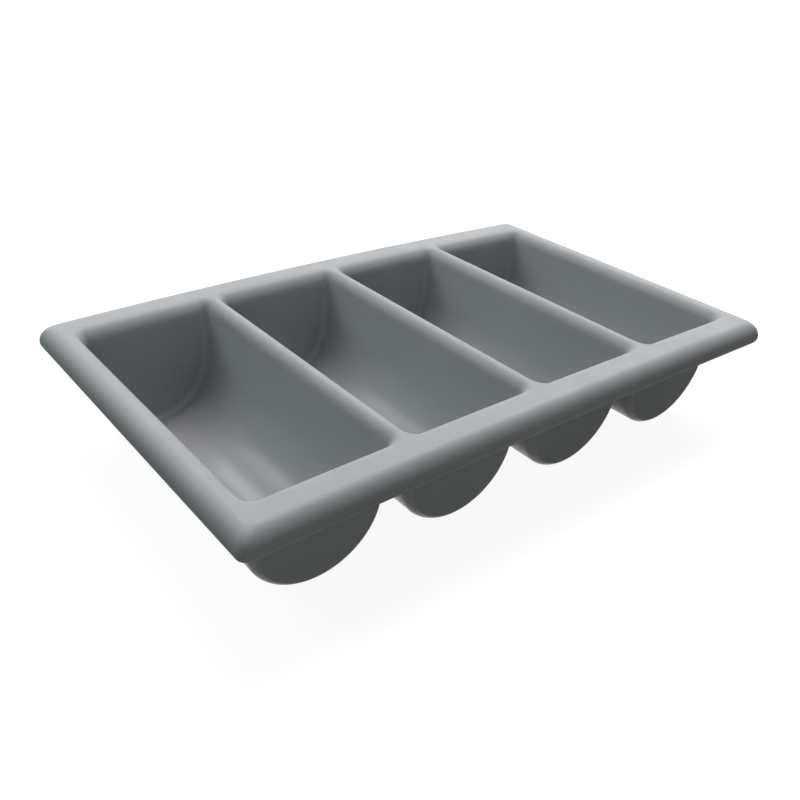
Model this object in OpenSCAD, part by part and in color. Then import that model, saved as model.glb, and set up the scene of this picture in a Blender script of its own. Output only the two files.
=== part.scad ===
// Cutlery tray: four round-bottomed troughs side by side under one broad rim.
// The tray is a single grey moulding. Its regions are drawn as separate solids that meet face to face.
// Origin: centre of the footprint, on the surface that the trough bottoms stand on. +X across the troughs,
// +Y along them, +Z up.

/* [Tray] */
// Height from the trough bottoms to the flat top of the rim
tray_h = 100; // [85:1:130]
// Thickness of the moulded wall
wall = 2.5; // [2:0.5:4]

/* [Rim] */
// Radius that rolls the outer edge of the rim over into the skirt
roll_r = 14; // [8:0.5:18]
// Straight skirt below the rolled edge
skirt_drop = 8; // [4:0.5:20]
// Flat land on the left and right rims
side_land = 1.5; // [1:0.5:20]
// Flat land on the front and back rims
end_land = 13; // [6:0.5:30]

/* [Troughs] */
// Inside width of a trough at its mouth
trough_w = 110; // [95:1:130]
// Inside length of a trough at its mouth
trough_l = 257; // [200:1:320]
// Lean of the long side walls, in degrees
side_draft = 6; // [3:0.5:8]
// Lean of the end walls, in degrees
end_draft = 3.5; // [1:0.5:6]
// Inside fillet between an end wall and the rest of its trough
fillet_r = 6; // [4:0.5:10]
// Radius that rounds the mouth of a trough
lip_r = 7; // [5:0.5:10]
// Flat land along the top of a divider
divider_land = 1; // [0.5:0.5:12]

/* [Hidden] */
$fn = 96;
tray_grey = [0.62, 0.64, 0.65];
trough_grey = [0.50, 0.52, 0.53];
end_grey = [0.44, 0.46, 0.46];
trough_count = 4;
// Hairline between the stretches of an end wall, which stay separate solids
seam = 0.02;

// Widths across the rims and a divider, from wall plane to wall plane or outer face
side_rim_w = roll_r + side_land + lip_r;
end_rim_w = roll_r + end_land + lip_r;
divider_w = 2 * lip_r + divider_land;
pitch = trough_w + divider_w;

// Overall size
tray_l = trough_count * trough_w + (trough_count - 1) * divider_w + 2 * side_rim_w;
tray_w = trough_l + 2 * end_rim_w;
rim_h = roll_r + skirt_drop;

// Straight stretches of a mouth, between its plan corners, and of the long rims
mouth_x = trough_w / 2 - fillet_r;
mouth_y = trough_l / 2 - fillet_r;
mouth_r = fillet_r + lip_r;
straight_x = tray_l / 2 - side_rim_w - fillet_r;

// U section: the round bottom is tangent to both leaning walls
lip_z = tray_h - lip_r;
round_r = (trough_w / 2 * cos(side_draft) - (lip_z - wall) * sin(side_draft)) / (1 - sin(side_draft));
round_z = wall + round_r;
wall_top = lip_z - round_z;
side_l = (wall_top + round_r * sin(side_draft)) / cos(side_draft);
cap_r = round_r - fillet_r;
end_lean = tan(end_draft);

function trough_x(i) = (i - (trough_count + 1) / 2) * pitch;
function divider_x(i) = (i - trough_count / 2) * pitch;

// Quarter of a pipe wall that turns from a vertical face at x = 0 up to a flat top at y = 0
module edge_round(r) {
    translate([r, -r])
        intersection() {
            difference() {
                circle(r);
                circle(r - wall);
            }
            translate([-2 * r, 0])
                square(2 * r);
        }
}

// Rolled outer edge with its skirt, from the outer face at x = 0
module rim_section() {
    edge_round(roll_r);
    translate([0, -rim_h])
        square([wall, skirt_drop]);
}

// Flat land of a given width that starts at x
module land_section(x, w) {
    translate([x, -wall])
        square([w, wall]);
}

// Section in (y, z), drawn out along X
module along_x(x0, x1) {
    translate([x0, 0, 0])
        rotate([90, 0, 90])
            linear_extrude(x1 - x0)
                children();
}

// Section in (x, z), drawn out along Y
module along_y(y0, y1) {
    translate([0, y1, 0])
        rotate([90, 0, 0])
            linear_extrude(y1 - y0)
                children();
}

// Rounded lip round one plan corner of a mouth, over the quarter turn that starts at an angle
module mouth_corner(start) {
    rotate([0, 0, start])
        rotate_extrude(angle = 90)
            translate([fillet_r, 0])
                edge_round(lip_r);
}

// Flat deck of wall thickness at the top of the tray
module deck() {
    translate([0, 0, tray_h - wall])
        linear_extrude(wall)
            children();
}

// Section in (radius from the round's centre line, distance along the trough), carried round the U in
// three stretches: the round and the two leaning sides
module u_sweep() {
    rotate([90, 0, 0]) {
        rotate([0, 0, 180 + side_draft])
            rotate_extrude(angle = 180 - 2 * side_draft)
                children();
        for (m = [0, 1])
            mirror([m, 0, 0])
                rotate([0, 0, -side_draft])
                    translate([0, side_l + wall, 0])
                        rotate([90, 0, 0])
                            linear_extrude(side_l + wall - seam)
                                children();
    }
}

// Half width of the U at a distance r from the round's centre line, at height z above that line
function u_half(r, z) = (r + z * sin(side_draft)) / cos(side_draft);

// Where the round ends and the leaning wall begins, on the right-hand side
function u_foot(r) = [r * cos(side_draft), -r * sin(side_draft)];

// Round part of the U at a distance r from its centre line
module round_outline(r) {
    foot = 2 * u_foot(r);
    intersection() {
        circle(r);
        polygon([[0, 0], [-foot.x, foot.y], [-2 * r, -2 * r], [2 * r, -2 * r], foot]);
    }
}

// Whole U at a distance r from its centre line, closed by a flat top level with the foot of the lip
module u_outline(r) {
    foot = u_foot(r);
    top_x = u_half(r, wall_top);
    round_outline(r);
    polygon([[0, 0], foot, [top_x, wall_top], [-top_x, wall_top], [-foot.x, foot.y]]);
}

// Deck and lips where a divider runs into the front rim
module divider_foot(x) {
    reach = divider_w / 2 + fillet_r;
    deck()
        difference() {
            translate([x - reach, -trough_l / 2 - lip_r])
                square([2 * reach, mouth_r]);
            for (s = [-1, 1])
                translate([x + s * reach, -mouth_y])
                    circle(mouth_r);
        }
    translate([x + reach, -mouth_y, tray_h])
        mouth_corner(180);
    translate([x - reach, -mouth_y, tray_h])
        mouth_corner(270);
}

module front_rim() {
    color(tray_grey) {
        along_x(-straight_x, straight_x)
            translate([-tray_w / 2, tray_h]) {
                rim_section();
                land_section(roll_r, end_land);
            }
        for (i = [1 : trough_count])
            along_x(trough_x(i) - mouth_x, trough_x(i) + mouth_x)
                translate([-trough_l / 2, tray_h])
                    mirror([1, 0])
                        edge_round(lip_r);
        for (i = [1 : trough_count - 1])
            divider_foot(divider_x(i));
    }
}

module back_rim() {
    mirror([0, 1, 0])
        front_rim();
}

module left_rim() {
    color(tray_grey)
        along_y(-mouth_y, mouth_y)
            translate([-tray_l / 2, tray_h]) {
                rim_section();
                land_section(roll_r, side_land);
                translate([side_rim_w, 0])
                    mirror([1, 0])
                        edge_round(lip_r);
            }
}

module right_rim() {
    mirror([1, 0, 0])
        left_rim();
}

// Section of a rolled edge filled in below its outer face, or below its inner face where inset is the
// wall, from the outer face at x = 0 to a given width
module filled_edge(inset, w) {
    r = roll_r - inset;
    intersection() {
        translate([roll_r, -roll_r])
            circle(r);
        translate([inset, -roll_r])
            square(r);
    }
    translate([roll_r, -roll_r])
        square([w - roll_r, r]);
    translate([inset, -rim_h - inset])
        square([w - inset, skirt_drop + inset]);
}

// Two filled edges that meet in a mitre at the front left corner
module mitred_edges(inset) {
    intersection() {
        along_x(-tray_l / 2, inset - straight_x)
            translate([-tray_w / 2, tray_h])
                filled_edge(inset, tray_w / 2 - mouth_y + inset);
        along_y(-tray_w / 2, inset - mouth_y)
            translate([-tray_l / 2, tray_h])
                filled_edge(inset, tray_l / 2 - straight_x + inset);
    }
}

// Front left corner: two rolled edges meet in a mitre, round the lip of the first trough
module corner_front_left() {
    color(tray_grey) {
        difference() {
            mitred_edges(0);
            mitred_edges(wall);
            translate([-straight_x, -mouth_y, tray_h - 2 * wall])
                cylinder(r = mouth_r, h = 3 * wall);
        }
        translate([-straight_x, -mouth_y, tray_h])
            mouth_corner(180);
    }
}

module corner_front_right() {
    mirror([1, 0, 0])
        corner_front_left();
}

module corner_back_left() {
    mirror([0, 1, 0])
        corner_front_left();
}

module corner_back_right() {
    mirror([1, 0, 0])
        corner_back_left();
}

module divider(i) {
    color(tray_grey)
        along_y(-mouth_y, mouth_y)
            translate([divider_x(i), tray_h]) {
                for (m = [0, 1])
                    mirror([m, 0])
                        translate([-divider_w / 2, 0])
                            edge_round(lip_r);
                land_section(-divider_land / 2, divider_land);
            }
}

// Section in (x, z) about the round's centre line, drawn out along one trough as far as the leaning
// planes where the end fillets begin
module along_trough(i) {
    foot_y = mouth_y - (lip_z + wall) * end_lean;
    translate([trough_x(i), 0, 0])
        intersection() {
            along_y(-trough_l / 2, trough_l / 2)
                translate([0, round_z])
                    children();
            along_x(-trough_w, trough_w)
                polygon([[-foot_y, -wall], [foot_y, -wall], [mouth_y, lip_z], [-mouth_y, lip_z]]);
        }
}

// Round bottom of a trough
module trough_floor(i) {
    color(trough_grey)
        along_trough(i)
            difference() {
                round_outline(round_r + wall);
                circle(round_r);
            }
}

// Leaning long side of a trough, from the end of the round up to the lip
module right_wall(i) {
    outer_r = round_r + wall;
    color(trough_grey)
        along_trough(i)
            polygon([u_foot(round_r), u_foot(outer_r),
                     [u_half(outer_r, wall_top), wall_top], [u_half(round_r, wall_top), wall_top]]);
}

module left_wall(i) {
    translate([2 * trough_x(i), 0, 0])
        mirror([1, 0, 0])
            right_wall(i);
}

// Leaning end wall of a trough with the fillet that joins it to the U
module front_end(i) {
    color(end_grey)
        translate([trough_x(i), -mouth_y, 0])
            multmatrix([[1, 0, 0, 0], [0, 1, -end_lean, lip_z * end_lean], [0, 0, 1, 0], [0, 0, 0, 1]]) {
                intersection() {
                    translate([0, 0, round_z])
                        u_sweep()
                            translate([cap_r, 0])
                                intersection() {
                                    difference() {
                                        circle(fillet_r + wall);
                                        circle(fillet_r);
                                    }
                                    square(2 * (fillet_r + wall));
                                }
                    translate([-trough_w, -trough_l, -wall])
                        cube([2 * trough_w, 2 * trough_l, lip_z + wall]);
                }
                translate([0, -fillet_r, round_z])
                    rotate([90, 0, 0])
                        linear_extrude(wall)
                            u_outline(cap_r - seam);
            }
}

module back_end(i) {
    mirror([0, 1, 0])
        front_end(i);
}

front_rim();
back_rim();
left_rim();
right_rim();
corner_front_left();
corner_front_right();
corner_back_left();
corner_back_right();
for (i = [1 : trough_count - 1])
    divider(i);
for (i = [1 : trough_count]) {
    trough_floor(i);
    left_wall(i);
    right_wall(i);
    front_end(i);
    back_end(i);
}
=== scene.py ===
import math

import bpy
import numpy as np
from mathutils import Matrix, Vector


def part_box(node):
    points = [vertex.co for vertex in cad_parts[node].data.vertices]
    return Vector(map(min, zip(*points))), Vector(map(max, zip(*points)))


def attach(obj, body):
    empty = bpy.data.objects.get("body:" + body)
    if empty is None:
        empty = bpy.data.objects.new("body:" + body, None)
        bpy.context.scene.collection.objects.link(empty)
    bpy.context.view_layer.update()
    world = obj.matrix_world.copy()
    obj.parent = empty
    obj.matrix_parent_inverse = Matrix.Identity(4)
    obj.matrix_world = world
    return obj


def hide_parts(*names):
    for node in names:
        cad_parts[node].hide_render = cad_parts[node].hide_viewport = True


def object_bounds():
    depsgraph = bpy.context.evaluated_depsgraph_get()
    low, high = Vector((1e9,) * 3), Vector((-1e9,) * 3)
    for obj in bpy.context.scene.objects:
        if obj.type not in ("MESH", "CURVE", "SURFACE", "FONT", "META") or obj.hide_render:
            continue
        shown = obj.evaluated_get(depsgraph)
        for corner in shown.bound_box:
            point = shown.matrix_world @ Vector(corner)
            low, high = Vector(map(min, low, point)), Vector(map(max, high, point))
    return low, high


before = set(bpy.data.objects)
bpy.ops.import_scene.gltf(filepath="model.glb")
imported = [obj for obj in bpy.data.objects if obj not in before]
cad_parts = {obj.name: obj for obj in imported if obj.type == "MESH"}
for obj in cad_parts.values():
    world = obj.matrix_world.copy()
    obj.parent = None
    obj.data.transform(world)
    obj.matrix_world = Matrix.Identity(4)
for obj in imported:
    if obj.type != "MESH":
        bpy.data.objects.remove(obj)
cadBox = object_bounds()
print("frame loaded,", len(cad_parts), "regions of the moulding")

mm = 0.001


def metres(value):
    return round(value, 6)


# sizes that the frame gives
halfX, halfY, deckZ = (metres(v) for v in cadBox[1])
dividerLow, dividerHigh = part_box("divider_1")
frontLow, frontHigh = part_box("front_rim")
lipZ = metres(dividerLow.z)            # foot of the lips
straightY = metres(dividerHigh.y)      # where the mouths' corners begin
straightX = metres(frontHigh.x)
skirtZ = metres(frontLow.z)            # lower edge of the rim
troughX = [metres(sum(c.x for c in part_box(f"floor_{n}")) / 2) for n in (1, 2, 3, 4)]
lastTrough = len(troughX)
mouthX = metres((troughX[1] - troughX[0] - (dividerHigh.x - dividerLow.x)) / 2)
cornerX = metres(straightX - troughX[-1])
fillet = metres(mouthX - cornerX)      # inside fillet round a trough's ends
mouthY = straightY + fillet
wall = metres(-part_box("front_end_1")[0].y - mouthY)

mould = {
    "sideDraft": math.radians(6),
    "endDraft": math.radians(3.5),
    # lips: across, down and fullness, where 2 is an ellipse
    "sideLip": (7.9 * mm, 12.5 * mm, 1.9),     # along the dividers and the side rims
    "endLip": (11.5 * mm, 14.5 * mm, 2),       # at the front and back of a mouth
    "rollIn": 12 * mm,                 # outer roll, measured in from the edge
    "rollDown": 14.5 * mm,             # and down from the deck
    "bead": 8 * mm,                    # radius at which the roll turns in again towards its lower edge
    "cornerRound": (6.5 * mm, 7 * mm),   # plan radius of the tray's corners, outside and at the deck
    "edgeRound": 0.4 * mm,             # lower edge of the roll
    "sag": (4.0 * mm, 0.25 * mm, 0.55 * mm),   # the rim's ends hang this much, more at the left and the back
    "sideSteps": 10,
    "cornerSteps": (5, 9, 4),          # along the side, round the outer corner, along the end
    "endSteps": 8,
    "lipSteps": 12,
    "wallSteps": 12,
    "roundSteps": 26,
    "rollSteps": 16,
    "beadSteps": 8,
    "edgeSteps": 4,
    "wallCrowd": 1.5,                  # over 1 brings the wall's rows closer under the lip
}

sideTan, endTan = math.tan(mould["sideDraft"]), math.tan(mould["endDraft"])
sideSin, sideCos = math.sin(mould["sideDraft"]), math.cos(mould["sideDraft"])
roundR = (mouthX * sideCos - (lipZ - wall) * sideSin) / (1 - sideSin)   # tangent to both leaning sides
roundZ = wall + roundR

sideStops = np.linspace(0, 1, mould["sideSteps"] + 1)
cornerTurns = np.linspace(0, math.pi / 2, sum(mould["cornerSteps"]) + 1)
endStops = np.linspace(1, 0, mould["endSteps"] + 1)


# distance of the surface from the trough's middle plane, on the leaning wall or on the oval lip above it
def reach(z, mouth, draft, lip):
    across, down, full = lip
    lean = (down / across * math.tan(draft)) ** (full / (full - 1))
    # where the lip leaves the wall, as a share of its height
    start = (lean / (1 + lean)) ** (1 / full)
    startZ = deckZ - down * (1 - start)
    if z <= startZ:
        return mouth + (z - lipZ) * math.tan(draft)
    centre = mouth + (startZ - lipZ) * math.tan(draft) + across * (1 - start ** full) ** (1 / full)
    height = min(1, (z - deckZ + down) / down)
    return centre - across * (1 - height ** full) ** (1 / full)


# axis of the fillet that joins a side to an end
def hub(z):
    drop = max(0, lipZ - z)
    return cornerX - drop * sideTan, straightY - drop * endTan


# one turn of the mouth from the middle of the right side to the middle of the back end
def wallRow(sideZ, endZ):
    sideX = reach(sideZ, mouthX, mould["sideDraft"], mould["sideLip"])
    endY = reach(endZ, mouthY, mould["endDraft"], mould["endLip"])
    sideHub, endHub = hub(sideZ), hub(endZ)
    row = [(sideX, stop * sideHub[1], sideZ) for stop in sideStops]
    for turn in cornerTurns[1:]:
        z = sideZ + (endZ - sideZ) * (1 - math.cos(turn))
        x, y = hub(z)
        row.append((x + (sideX - sideHub[0]) * math.cos(turn), y + (endY - endHub[1]) * math.sin(turn), z))
    return row + [(stop * endHub[0], endY, endZ) for stop in endStops[1:]]


# the same turn lower down, on the round bottom
def roundRow(angle):
    def on(radius):
        return radius * math.sin(angle), roundZ - radius * math.cos(angle)

    x, z = on(roundR)
    row = [(x, stop * hub(z)[1], z) for stop in sideStops]
    for turn in cornerTurns[1:]:
        x, z = on(roundR - fillet * (1 - math.cos(turn)))
        row.append((x, hub(z)[1] + fillet * math.sin(turn), z))
    return row + [(stop * x, row[-1][1], z) for stop in endStops[1:]]


# a quarter of one trough: rows go over the lip, down the wall and round to the middle of the floor
def troughQuarter():
    heights = []
    for share in np.linspace(0, 1, mould["lipSteps"] + 1):
        pair = []
        for _, down, _ in (mould["sideLip"], mould["endLip"]):
            foot = math.asin((lipZ - deckZ + down) / down)
            turn = math.pi / 2 + (foot - math.pi / 2) * share
            pair.append(deckZ - down * (1 - math.sin(turn)))
        heights.append(tuple(pair))
    top, foot = heights[-1], (roundZ - roundR * sideSin, roundZ - (roundR - fillet) * sideSin)
    for k in range(1, mould["wallSteps"] + 1):
        share = (k / mould["wallSteps"]) ** mould["wallCrowd"]
        heights.append(tuple(a + (b - a) * share for a, b in zip(top, foot)))
    angles = np.linspace(math.pi / 2 - mould["sideDraft"], 0, mould["roundSteps"] + 1)
    return np.array([wallRow(*pair) for pair in heights] + [roundRow(a) for a in angles[1:]])


# section of the outer roll as (distance in from the outer edge, height),
# on the shown face and on the hidden one
def rollSection():
    rollIn, rollDown, edge = mould["rollIn"], mould["rollDown"], mould["edgeRound"]
    line = []
    for a in np.linspace(0, math.pi / 2, mould["rollSteps"] + 1):
        line.append((rollIn * (1 - math.sin(a)), deckZ - rollDown * (1 - math.cos(a))))
    beadZ, bead = deckZ - rollDown, mould["bead"]
    lowest = math.asin((beadZ - skirtZ - edge) / bead)
    for a in np.linspace(0, lowest, mould["beadSteps"] + 1)[1:]:
        line.append((bead * (1 - math.cos(a)), beadZ - bead * math.sin(a)))
    line = np.array(line)
    along = np.gradient(line, axis=0)
    along[0] = (-1, 0)
    along /= np.linalg.norm(along, axis=1)[:, None]
    inward = np.c_[-along[:, 1], along[:, 0]]      # into the wall
    shown, hidden = list(line), list(line + wall * inward)
    middle, down, across = line[-1] + wall / 2 * inward[-1], along[-1], inward[-1]
    for a in np.linspace(0, math.pi / 2, mould["edgeSteps"] + 1)[1:]:
        half = wall / 2 - edge * (1 - math.cos(a))
        shown.append(middle + down * edge * math.sin(a) - across * half)
        hidden.append(middle + down * edge * math.sin(a) + across * half)
    return np.array(shown), np.array(hidden)


skin = {"points": [], "hidden": [], "quads": [], "owners": []}


# adds a grid of points to the skin; hidden, if given, is the same grid on the other face of the wall
def addPatch(owner, grid, flip=False, hidden=None):
    grid = np.array(grid, float)
    rows, columns = grid.shape[:2]
    start = sum(len(p) for p in skin["points"])
    index = start + np.arange(rows * columns).reshape(rows, columns)
    skin["points"].append(grid.reshape(-1, 3))
    blank = np.full((rows * columns, 3), np.nan)
    skin["hidden"].append(blank if hidden is None else np.array(hidden, float).reshape(-1, 3))
    quads = np.stack([index[:-1, :-1], index[:-1, 1:], index[1:, 1:], index[1:, :-1]], -1).reshape(-1, 4)
    skin["quads"].append(quads[:, ::-1] if flip else quads)
    skin["owners"] += [owner] * len(quads)


shownRoll, hiddenRoll = rollSection()


# deck from a line of points out to the roll, then the roll itself;
# plan(inset) runs round at a distance from the edge
def addBorder(owner, line, plan, flip):
    base = plan(mould["rollIn"])
    addPatch(owner, [line, np.c_[base, np.full(len(base), deckZ)]], not flip)
    rollGrid, backGrid = [], []
    for section, made in ((shownRoll, rollGrid), (hiddenRoll, backGrid)):
        for inset, z in section:
            made.append(np.c_[plan(inset), np.full(len(base), z)])
    addPatch(owner, rollGrid, not flip, backGrid)


# plan of one outer corner, as many points as the mouth's corner has
def cornerPlan(inset, signs):
    along, turning, across = mould["cornerSteps"]
    outer, inner = mould["cornerRound"]
    radius = outer + (inner - outer) * min(1, inset / mould["rollIn"])
    edge = np.array([halfX, halfY]) - inset
    axis = edge - radius
    plan = [(edge[0], y) for y in np.linspace(straightY, axis[1], along + 1)[:-1]]
    for a in np.linspace(0, math.pi / 2, turning + 1):
        plan.append(tuple(axis + radius * np.array((math.cos(a), math.sin(a)))))
    plan += [(x, edge[1]) for x in np.linspace(axis[0], straightX, across + 1)[1:]]
    return np.array(plan) * signs


# plan of a straight stretch beside a line of points
def straightPlan(line, axis, edge):
    def plan(inset):
        return moved(line[:, :2], axis, edge - math.copysign(inset, edge))

    return plan


def moved(points, axis, value):
    out = points.copy()
    out[:, axis] = value
    return out


quarter = troughQuarter()
lipRow = mould["lipSteps"]
footRow = lipRow + mould["wallSteps"]
sideEnd = mould["sideSteps"]
cornerEnd = sideEnd + sum(mould["cornerSteps"])
for n, middle in enumerate(troughX, 1):
    for sx, side in ((1, "right"), (-1, "left")):
        for sy, end in ((1, "back"), (-1, "front")):
            flip = sx * sy < 0
            grid = quarter * (sx, sy, 1) + (middle, 0, 0)
            outer = n == (lastTrough if sx > 0 else 1)
            rim, corner = f"{end}_rim", f"corner_{end}_{side}"
            divider = n if sx > 0 else n - 1
            addPatch(f"{side}_wall_{n}", grid[lipRow:footRow + 1, :sideEnd + 1], flip)
            addPatch(f"floor_{n}", grid[footRow:, :sideEnd + 1], flip)
            addPatch(f"{end}_end_{n}", grid[lipRow:, sideEnd:], flip)
            addPatch(f"{side}_rim" if outer else f"divider_{divider}", grid[:lipRow + 1, :sideEnd + 1], flip)
            addPatch(corner if outer else rim, grid[:lipRow + 1, sideEnd:cornerEnd + 1], flip)
            addPatch(rim, grid[:lipRow + 1, cornerEnd:], flip)
            # deck round this quarter of the mouth
            mouth = grid[0]
            addBorder(rim, mouth[cornerEnd:], straightPlan(mouth[cornerEnd:], 1, sy * halfY), flip)
            if outer:
                line = mouth[:sideEnd + 1]
                addBorder(f"{side}_rim", line, straightPlan(line, 0, sx * halfX), flip)
                bend = mouth[sideEnd:cornerEnd + 1]
                addBorder(corner, bend, lambda inset: cornerPlan(inset, (sx, sy)), flip)
            elif sx > 0:
                other = quarter[0] * (-1, sy, 1) + (troughX[n], 0, 0)
                addPatch(f"divider_{divider}", [mouth[:sideEnd + 1], other[:sideEnd + 1]], not flip)
                addPatch(rim, [mouth[sideEnd:cornerEnd + 1], other[sideEnd:cornerEnd + 1]], not flip)
                gap = np.array([mouth[cornerEnd], other[cornerEnd]])
                addBorder(rim, gap, straightPlan(gap, 1, sy * halfY), not flip)
print("skin laid out,", len(skin["owners"]), "facets")


# points within one step are one, and the shift keeps them off its borders
seam = {"step": 0.001 * mm, "shift": 0.37}


# joins the patches where their points meet
def weld():
    points = np.concatenate(skin["points"])
    hidden = np.concatenate(skin["hidden"])
    keys = np.floor(points / seam["step"] + seam["shift"]).astype(np.int64)
    _, first, index = np.unique(keys, axis=0, return_index=True, return_inverse=True)
    index = index.reshape(-1)
    back = np.full((len(first), 3), np.nan)
    given = ~np.isnan(hidden[:, 0])
    back[index[given]] = hidden[given]
    faces, owners = [], []
    for quad, owner in zip(index[np.concatenate(skin["quads"])], skin["owners"]):
        ring = [int(v) for k, v in enumerate(quad) if v != quad[k - 1]]
        if len(set(ring)) >= 3:
            faces.append(ring)
            owners.append(owner)
    return points[first], back, faces, owners


# facets weigh in by area, so flats stay flat up to the rounds beside them
def pointNormals(points, faces):
    total = np.zeros_like(points)
    for size in (3, 4):
        some = np.array([f for f in faces if len(f) == size])
        if len(some):
            a, b = points[some[:, 2]] - points[some[:, 0]], points[some[:, size - 1]] - points[some[:, 1]]
            if size == 3:
                a, b = points[some[:, 1]] - points[some[:, 0]], points[some[:, 2]] - points[some[:, 0]]
            facing = np.cross(a, b)
            for k in range(size):
                np.add.at(total, some[:, k], facing)
    return total / np.maximum(np.linalg.norm(total, axis=1), 1e-12)[:, None]


# the rim's ends hang a little lower than its middle, and the trough bottoms stay on the floor
def sagged(points):
    out = points.copy()
    ends, left, back = mould["sag"]
    u, v = points[:, 0] / halfX, points[:, 1] / halfY
    out[:, 2] -= u ** 2 * (ends - left * u + back * v) * points[:, 2] / deckZ
    return out


shown, hidden, faces, owners = weld()
flat = pointNormals(shown, faces)
unset = np.isnan(hidden[:, 0])
hidden[unset] = shown[unset] - wall * flat[unset]
shown, hidden = sagged(shown), sagged(hidden)
backFaces = [f[::-1] for f in faces]
shownNormals, hiddenNormals = pointNormals(shown, faces), pointNormals(hidden, backFaces)


# one closed region of the moulding: its shown face, its hidden face and the cut all round
def makeRegion(name, members, finish):
    used = sorted({v for k in members for v in faces[k]})
    place = {v: k for k, v in enumerate(used)}
    count = len(used)
    points = np.concatenate([shown[used], hidden[used]])
    shells, normals, loose = [], [], {}
    for k in members:
        ring = faces[k]
        shells.append([place[v] for v in ring])
        normals += [tuple(shownNormals[v]) for v in ring]
        for a, b in zip(ring, ring[1:] + ring[:1]):
            if loose.pop((b, a), None) is None:
                loose[(a, b)] = True
    for k in members:
        ring = backFaces[k]
        shells.append([place[v] + count for v in ring])
        normals += [tuple(hiddenNormals[v]) for v in ring]
    for a, b in loose:
        quad = [place[b], place[a], place[a] + count, place[b] + count]
        facing = np.cross(points[quad[2]] - points[quad[0]], points[quad[3]] - points[quad[1]])
        shells.append(quad)
        normals += [tuple(facing / np.linalg.norm(facing))] * 4
    mesh = bpy.data.meshes.new(name)
    mesh.from_pydata(points.tolist(), [], shells)
    mesh.shade_smooth()
    mesh.normals_split_custom_set(normals)
    mesh.materials.append(finish)
    piece = bpy.data.objects.new(name, mesh)
    bpy.context.scene.collection.objects.link(piece)
    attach(piece, "root")
    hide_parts(name.removeprefix("moulded_"))


# a node's output, so that shader maths reads as Python
class Socket:
    def __init__(self, finish, out):
        self.finish, self.out = finish, out

    def math(self, operation, a, b=0.0):
        return self.finish.node("ShaderNodeMath", {"operation": operation}, {0: a, 1: b})

    def __add__(self, other):
        return self.math("ADD", self, other)

    def __sub__(self, other):
        return self.math("SUBTRACT", self, other)

    def __rsub__(self, other):
        return self.math("SUBTRACT", other, self)

    def __mul__(self, other):
        return self.math("MULTIPLY", self, other)

    __radd__, __rmul__ = __add__, __mul__


# the node tree of a material or of the world
class Finish:
    def __init__(self, owner):
        owner.use_nodes = True
        self.tree = owner.node_tree
        self.tree.nodes.clear()

    # settings come first, then the values or links of the sockets
    def node(self, kind, settings=None, sockets=None, out=0):
        made = self.tree.nodes.new(kind)
        for key, value in (settings or {}).items():
            setattr(made, key, value)
        for key, value in (sockets or {}).items():
            if isinstance(value, Socket):
                self.tree.links.new(value.out, made.inputs[key])
            else:
                made.inputs[key].default_value = value
        return Socket(self, made.outputs[out] if made.outputs else None)

    def blend(self, factor, a, b):
        return self.node("ShaderNodeMix", {"data_type": "RGBA"}, {0: factor, 6: a, 7: b}, 2)

    def noise(self, where, scale, detail=2.0, rough=0.5):
        return self.node("ShaderNodeTexNoise", None,
                         {"Vector": where, "Scale": scale, "Detail": detail, "Roughness": rough})

    def ramp(self, value, low, high):
        return self.node("ShaderNodeMapRange", {"interpolation_type": "SMOOTHSTEP"},
                         {0: value, 1: low, 2: high})


plastic = {
    "colour": (0.402, 0.425, 0.430, 1),      # grey moulding with a touch of teal
    "pale": (0.460, 0.478, 0.483, 1),        # handled rim and scuffs
    "dark": (0.366, 0.389, 0.397, 1),        # flow shade of the moulding
    "roughness": (0.22, 0.46, 0.75),         # in the troughs, on the rim, and on the matt outside
    "specular": 0.18,
    "handled": (84 * mm, 95 * mm),           # the rim is rubbed paler between these heights
    "outside": (0.3, 0.8),                   # shares of the wall over which an end turns matt
    "grain": 0.06 * mm,                      # depth of the moulded texture
    "relief": 0.25,                          # and its strength
    "stretch": (1.0, 0.06, 1.0),             # draws marks out along the troughs
    "scuffHide": 0.6,                        # scuffs show less in the flow shade
    # marks: scale, detail and roughness of the noise, then where the mark starts and is full
    "flow": (9.0, 3.0, 0.5, 0.35, 0.70),
    "drawn": (420.0, 3.0, 0.6, 0.42, 0.72),  # fine lines along the troughs
    "speck": (900.0, 1.0, 0.5, 0.45, 0.75),
    "rubbed": (34.0, 4.0, 0.6, 0.40, 0.72),
    "scuff": (95.0, 5.0, 0.65, 0.60, 0.74),
    "fineGrain": (1500.0, 2.0),
    "orangePeel": (160.0, 2.0),
    # how much each mark counts in the colour, the roughness and the relief
    "tint": {"flow": 0.55, "speck": 0.25, "drawn": 0.15, "rubbed": 0.45, "scuff": 0.30},
    "dull": {"flow": 0.07, "grain": 0.05, "rubbed": 0.05, "scuff": 0.06},
    "raise": {"orange": 2.0, "drawn": 0.6, "scuff": 0.5},
}


# 1 on the skirts and on the outer faces of the end walls, 0 inside the troughs
def outerFace(finish, across, along, height):
    roll = mould["rollIn"]
    skirt = finish.ramp(across.math("ABSOLUTE", across), halfX - 2 * roll, halfX - roll)
    upright = along.math("ABSOLUTE", along) - endTan * height      # takes out the lean of the end walls
    inner = mouthY - endTan * lipZ
    end = finish.ramp(upright, *(inner + share * wall for share in plastic["outside"]))
    return skirt.math("MAXIMUM", skirt, end)


def mark(finish, where, name):
    scale, detail, rough, low, high = plastic[name]
    return finish.ramp(finish.noise(where, scale, detail, rough), low, high)


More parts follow.
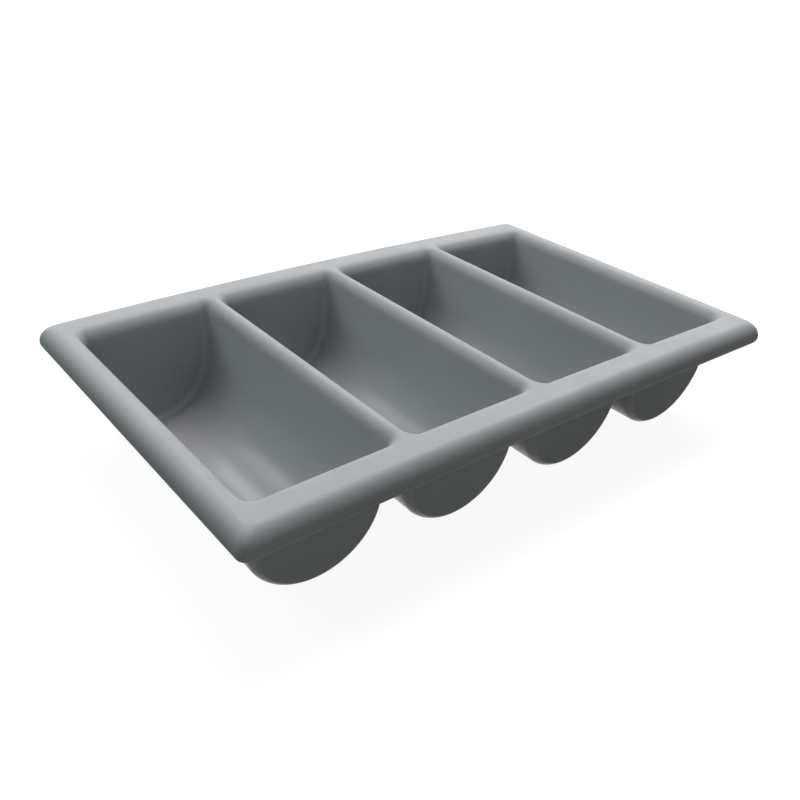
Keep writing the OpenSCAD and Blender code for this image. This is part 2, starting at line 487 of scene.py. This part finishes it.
def satinGreyPlastic():
    material = bpy.data.materials.new("satinGreyPlastic")
    finish = Finish(material)
    tint, dull, lift = plastic["tint"], plastic["dull"], plastic["raise"]
    where = finish.node("ShaderNodeTexCoord", out=3)
    across, along, height = (finish.node("ShaderNodeSeparateXYZ", None, {0: where}, k) for k in range(3))
    lengthwise = finish.node("ShaderNodeVectorMath", {"operation": "MULTIPLY"},
                             {0: where, 1: plastic["stretch"]})
    flow = mark(finish, where, "flow")
    drawn = mark(finish, lengthwise, "drawn")
    speck = mark(finish, where, "speck")
    grain = finish.noise(where, *plastic["fineGrain"])
    orange = finish.noise(where, *plastic["orangePeel"])
    rim = finish.ramp(height, *plastic["handled"])
    outside = outerFace(finish, across, along, height)
    rubbed = rim * mark(finish, where, "rubbed")
    scuff = mark(finish, lengthwise, "scuff") * (1 - plastic["scuffHide"] * flow)

    colour = finish.blend(flow * tint["flow"], plastic["colour"], plastic["dark"])
    colour = finish.blend(speck * tint["speck"] + drawn * tint["drawn"], colour, plastic["pale"])
    colour = finish.blend(rubbed * tint["rubbed"] + scuff * tint["scuff"], colour, plastic["pale"])

    smooth, worn, matt = plastic["roughness"]
    roughness = smooth + (worn - smooth) * rim + dull["flow"] * (flow - 0.5) + dull["grain"] * (grain - 0.5)
    roughness = roughness - dull["rubbed"] * rubbed + dull["scuff"] * scuff
    roughness = roughness + (matt - smooth) * outside * (1 - rim)

    relief = grain + lift["orange"] * orange + lift["drawn"] * drawn - lift["scuff"] * scuff
    normal = finish.node("ShaderNodeBump", None,
                         {"Strength": plastic["relief"], "Distance": plastic["grain"], "Height": relief})
    shader = finish.node("ShaderNodeBsdfPrincipled", None,
                         {"Base Color": colour, "Roughness": roughness, "Normal": normal,
                          "Specular IOR Level": plastic["specular"]})
    finish.node("ShaderNodeOutputMaterial", None, {"Surface": shader})
    return material


trayPlastic = satinGreyPlastic()
regions = {}
for k, owner in enumerate(owners):
    regions.setdefault(owner, []).append(k)
for owner, members in regions.items():
    makeRegion(f"moulded_{owner}", members, trayPlastic)
print("moulding built,", len(regions), "regions,", len(shown) * 2, "points")

stage = {
    "floorSize": 30.0,
    "floorShade": (0.04, 0.04, 0.04, 1),     # what the floor gives back to the tray
    "paper": (0.22, 0.22, 0.22, 1),          # the seen floor, which takes the shadow
    "nearGlow": (0.93, 0.93, 0.93, 1),       # lifts the seen floor to white
    "farGlow": (1, 1, 1, 1),
    "fade": (0.35, 1.1),                     # from the tray's middle, in metres
    "ambient": (0.01, 0.01, 0.01, 1),
}


# seen directly or in a reflection, the floor and the world are white
def seenWhite(finish):
    path = finish.node("ShaderNodeLightPath")
    rays = [Socket(finish, path.out.node.outputs[name])
            for name in ("Is Camera Ray", "Is Glossy Ray", "Is Transmission Ray")]
    total = rays[0] + rays[1] + rays[2]
    return total.math("MINIMUM", total, 1.0)


def studio():
    mesh = bpy.data.meshes.new("studioFloor")
    half = stage["floorSize"] / 2
    corners = [(-half, -half, 0), (half, -half, 0), (half, half, 0), (-half, half, 0)]
    mesh.from_pydata(corners, [], [(0, 1, 2, 3)])
    floor = bpy.data.objects.new("studioFloor", mesh)
    bpy.context.scene.collection.objects.link(floor)
    material = bpy.data.materials.new("paperFloor")
    finish = Finish(material)
    where = finish.node("ShaderNodeTexCoord", out=3)
    distance = finish.node("ShaderNodeVectorMath", {"operation": "LENGTH"}, {0: where}, 1)
    away = finish.ramp(distance, *stage["fade"])
    paper = finish.node("ShaderNodeBsdfDiffuse", None, {"Color": stage["paper"]})
    glow = finish.node("ShaderNodeEmission", None,
                       {"Color": finish.blend(away, stage["nearGlow"], stage["farGlow"]), "Strength": 1.0})
    lit = finish.node("ShaderNodeAddShader", None, {0: paper, 1: glow})
    dull = finish.node("ShaderNodeBsdfDiffuse", None, {"Color": stage["floorShade"]})
    mixed = finish.node("ShaderNodeMixShader", None, {0: seenWhite(finish), 1: dull, 2: lit})
    finish.node("ShaderNodeOutputMaterial", None, {"Surface": mixed})
    mesh.materials.append(material)

    world = bpy.data.worlds.new("studioWorld")
    bpy.context.scene.world = world
    finish = Finish(world)
    soft = finish.node("ShaderNodeBackground", None, {"Color": stage["ambient"], "Strength": 1.0})
    white = finish.node("ShaderNodeBackground", None, {"Color": (1, 1, 1, 1), "Strength": 1.0})
    mixed = finish.node("ShaderNodeMixShader", None, {0: seenWhite(finish), 1: soft, 2: white})
    finish.node("ShaderNodeOutputWorld", None, {"Surface": mixed})


lamps = {
    "backOverhead": {"place": (0, 0.81, 1.91), "size": 0.9, "power": 11, "tint": (1, 0.94, 0.975)},
    "rightOverhead": {"place": (0.70, 0.41, 1.91), "size": 0.9, "power": 21, "tint": (1, 0.915, 0.965)},
    "rightSoftbox": {"place": (1.38, 0.35, 1.49), "size": 0.7, "power": 11.5, "tint": (0.92, 1, 1)},
    "backWindow": {"place": (0.10, 1.41, 1.49), "size": 0.6, "power": 5, "tint": (1, 1, 1)},
    "backLeftSoftbox": {"place": (-1.18, 1.18, 1.20), "size": 0.9, "power": 9.6, "tint": (0.86, 1, 0.99)},
    "frontFill": {"place": (-0.67, -1.85, 0.27), "size": 0.5, "power": 4.4, "tint": (1, 1, 1)},
}
lampAim = Vector((0, 0, 80 * mm))


def addLamps():
    for name, lamp in lamps.items():
        data = bpy.data.lights.new(name, "AREA")
        data.shape, data.size = "SQUARE", lamp["size"]
        data.energy, data.color = lamp["power"], lamp["tint"]
        light = bpy.data.objects.new(name, data)
        light.location = lamp["place"]
        light.rotation_euler = (lampAim - light.location).to_track_quat("-Z", "Y").to_euler()
        bpy.context.scene.collection.objects.link(light)


shot = {
    "azimuth": -40.735,
    "elevation": 30.239,
    "roll": 3.975,
    "distance": 886.6 * mm,
    "target": (64.33 * mm, 95.47 * mm, -46.5 * mm),
    "lens": 38.214,                          # millimetres, as the sensor's width is
    "sensor": 36,
}


def addCamera():
    az, el, roll = (math.radians(shot[key]) for key in ("azimuth", "elevation", "roll"))
    back = Vector((math.sin(az) * math.cos(el), -math.cos(az) * math.cos(el), math.sin(el)))
    right = (-back).cross(Vector((0, 0, 1))).normalized()
    up = back.cross(right)
    right, up = right * math.cos(roll) + up * math.sin(roll), up * math.cos(roll) - right * math.sin(roll)
    data = bpy.data.cameras.new("photoCamera")
    data.sensor_width, data.lens = shot["sensor"], shot["lens"]
    camera = bpy.data.objects.new("photoCamera", data)
    turn = Matrix((right, up, back)).transposed().to_4x4()
    camera.matrix_world = Matrix.Translation(Vector(shot["target"]) + back * shot["distance"]) @ turn
    bpy.context.scene.collection.objects.link(camera)
    bpy.context.scene.camera = camera


studio()
addLamps()
addCamera()
bpy.context.scene.view_settings.view_transform = "Standard"
print("studio and camera set")
